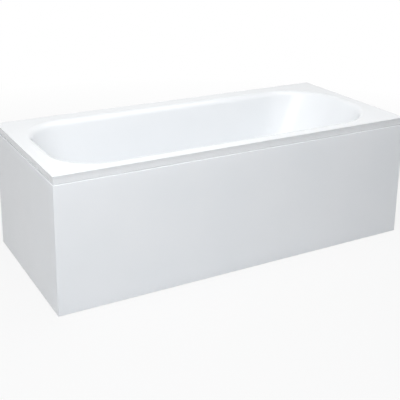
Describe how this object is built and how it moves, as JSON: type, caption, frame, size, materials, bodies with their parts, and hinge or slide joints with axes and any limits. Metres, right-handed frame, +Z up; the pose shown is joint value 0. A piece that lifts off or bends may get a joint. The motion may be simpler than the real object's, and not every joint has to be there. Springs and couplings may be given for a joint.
{
  "type": "bathtub",
  "caption": "Rectangular acrylic bathtub with rolled-over rim, sloping back rest, levelling feet, clip-on front and end panels and a cable-driven pop-up waste.",
  "frame": {"origin": "on the floor, under the centre of the rim's rectangle", "axes": "+Z up; +X along the bath from the foot end, with the drain, to the sloping back rest; -Y towards the panelled front and +Y towards the wall"},
  "size_m": [1.7, 0.75, 0.575],
  "materials": {
    "shell_acrylic": "formed white acrylic, high gloss, backed with glass fibre",
    "panel_acrylic": "formed white acrylic sheet, high gloss",
    "board": "chipboard under a thin resin coat",
    "timber": "planed softwood",
    "zinc_steel": "zinc-plated pressed steel",
    "pad_plastic": "moulded, satin black",
    "clip_plastic": "moulded, satin white",
    "chrome": "bright chrome plate",
    "rubber": "moulded rubber",
    "waste_plastic": "moulded polypropylene, satin white",
    "hose_plastic": "ribbed polypropylene, satin pale grey",
    "stainless": "turned stainless steel",
    "cable_sheath": "extruded, satin black"
  },
  "bodies": {
    "bath": {"tub_shell": "shell_acrylic", "base_board": "board", "rim_batten_front": "timber", "rim_batten_back": "timber", "rim_batten_foot_end": "timber", "rim_batten_head_end": "timber", "leg_channel_foot_end": "zinc_steel", "leg_channel_head_end": "zinc_steel", "channel_screws": "zinc_steel", "foot_lock_nuts": "zinc_steel", "front_panel_clips": "clip_plastic", "end_panel_clips": "clip_plastic", "clip_screws": "zinc_steel", "panel_bracket_left": "zinc_steel", "panel_bracket_right": "zinc_steel", "panel_bracket_end": "zinc_steel", "bracket_bolts": "zinc_steel", "wall_bracket_left": "zinc_steel", "wall_bracket_right": "zinc_steel", "wall_bracket_head_end": "zinc_steel", "drain_flange": "chrome", "drain_gasket": "rubber", "drain_washer": "rubber", "drain_body": "waste_plastic", "overflow_flange": "chrome", "overflow_screws": "stainless", "overflow_seal": "rubber", "overflow_body": "waste_plastic", "overflow_hose": "hose_plastic", "hose_nut_top": "waste_plastic", "hose_nut_bottom": "waste_plastic", "bowden_cable": "cable_sheath", "trap_nut": "waste_plastic", "trap_bend": "waste_plastic", "outlet_nut": "waste_plastic", "outlet_pipe": "waste_plastic"},
    "foot_front_left": {"foot_stud_front_left": "zinc_steel", "foot_pad_front_left": "pad_plastic"},
    "foot_front_right": {"foot_stud_front_right": "zinc_steel", "foot_pad_front_right": "pad_plastic"},
    "foot_back_left": {"foot_stud_back_left": "zinc_steel", "foot_pad_back_left": "pad_plastic"},
    "foot_back_right": {"foot_stud_back_right": "zinc_steel", "foot_pad_back_right": "pad_plastic"},
    "knob": {"overflow_knob": "chrome", "knob_spindle": "stainless"},
    "plug": {"plug_cap": "chrome", "plug_seal": "rubber", "plug_stem": "stainless"},
    "lever": {"lift_lever": "stainless"},
    "cable_wire": {"cable_pull": "stainless"},
    "front_panel": {"front_panel": "panel_acrylic"},
    "end_panel": {"end_panel": "panel_acrylic"}
  },
  "joints": [
    {"name": "level_front_left", "type": "slide", "parent": "bath", "child": "foot_front_left", "axis": [0, 0, -1], "range_m": [-0.008, 0.03]},
    {"name": "level_front_right", "type": "slide", "parent": "bath", "child": "foot_front_right", "axis": [0, 0, -1], "range_m": [-0.008, 0.03]},
    {"name": "level_back_left", "type": "slide", "parent": "bath", "child": "foot_back_left", "axis": [0, 0, -1], "range_m": [-0.008, 0.03]},
    {"name": "level_back_right", "type": "slide", "parent": "bath", "child": "foot_back_right", "axis": [0, 0, -1], "range_m": [-0.008, 0.03]},
    {"name": "knob_turn", "type": "hinge", "parent": "bath", "child": "knob", "pos_m": [-0.74799, -0.011, 0.48], "axis": [0.9659, 0, 0.2588], "range_deg": [0, 90]},
    {"name": "plug_lift", "type": "slide", "parent": "bath", "child": "plug", "axis": [0, 0, 1], "range_m": [0, 0.008]},
    {"name": "lever_swing", "type": "hinge", "parent": "bath", "child": "lever", "pos_m": [-0.485, -0.011, 0.118], "axis": [0, 1, 0], "range_deg": [0, 30.93]},
    {"name": "wire_pull", "type": "slide", "parent": "bath", "child": "cable_wire", "axis": [-1, 0, 0], "range_m": [0, 0.00853]},
    {"name": "front_panel_off", "type": "slide", "parent": "bath", "child": "front_panel", "axis": [0, -1, 0], "range_m": [0, 0.12]},
    {"name": "end_panel_off", "type": "slide", "parent": "bath", "child": "end_panel", "axis": [-1, 0, 0], "range_m": [0, 0.12]}
  ],
  "couplings": [
    {"joint": "plug_lift", "follows": "knob_turn", "m_per_rad": 0.0050929},
    {"joint": "lever_swing", "follows": "knob_turn", "ratio": 0.34369},
    {"joint": "wire_pull", "follows": "knob_turn", "m_per_rad": 0.0054324}
  ]
}
